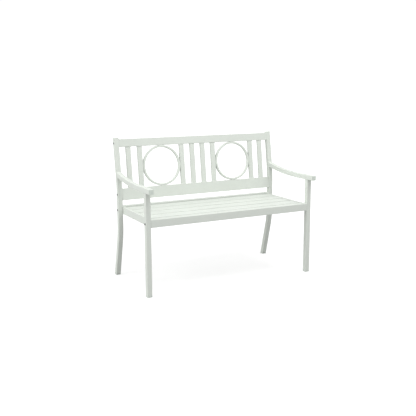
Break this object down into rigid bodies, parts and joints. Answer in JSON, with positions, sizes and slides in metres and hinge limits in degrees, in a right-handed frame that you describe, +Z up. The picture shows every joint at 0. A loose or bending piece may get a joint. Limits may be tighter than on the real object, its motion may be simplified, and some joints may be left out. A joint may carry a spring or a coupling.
{
  "type": "garden bench",
  "caption": "Garden bench of pale green coated steel tube, with a slatted seat, swept armrests, and an open back of upright slats and large rings.",
  "frame": {"origin": "on the ground, in the middle of the footprint", "axes": "+X along the bench, +Y from the front edge to the back, +Z up"},
  "size_m": [1.1528, 0.61, 0.889],
  "materials": {
    "coated_steel": "pale sage powder coat, satin, fine orange peel",
    "moulded_caps": "moulded plastic in the frame's colour, matt",
    "fastener_steel": "zinc-plated steel, dull grey",
    "plate_steel": "coated with the frame"
  },
  "bodies": {
    "root": {"back_ring_1": "coated_steel", "back_ring_2": "coated_steel", "back_slat_1": "coated_steel", "back_slat_2": "coated_steel", "back_slat_3": "coated_steel", "back_slat_4": "coated_steel", "back_slat_5": "coated_steel", "back_slat_6": "coated_steel", "back_slat_7": "coated_steel", "back_slat_8": "coated_steel", "bolt_washers": "fastener_steel", "frame_bolts": "fastener_steel", "front_rail_end_plates": "plate_steel", "left_arm_cap": "moulded_caps", "left_armrest": "coated_steel", "left_front_foot": "moulded_caps", "left_front_leg": "coated_steel", "left_post_cap": "moulded_caps", "left_rear_foot": "moulded_caps", "left_rear_leg": "coated_steel", "left_seat_rail": "coated_steel", "lower_back_rail": "coated_steel", "lower_rail_end_plates": "plate_steel", "rear_rail_end_plates": "plate_steel", "right_arm_cap": "moulded_caps", "right_armrest": "coated_steel", "right_front_foot": "moulded_caps", "right_front_leg": "coated_steel", "right_post_cap": "moulded_caps", "right_rear_foot": "moulded_caps", "right_rear_leg": "coated_steel", "right_seat_rail": "coated_steel", "seat_front_rail": "coated_steel", "seat_middle_brace": "coated_steel", "seat_rear_rail": "coated_steel", "seat_slat_1": "coated_steel", "seat_slat_2": "coated_steel", "seat_slat_3": "coated_steel", "seat_slat_4": "coated_steel", "top_back_rail": "coated_steel", "top_rail_end_plates": "plate_steel"}
  },
  "joints": []
}
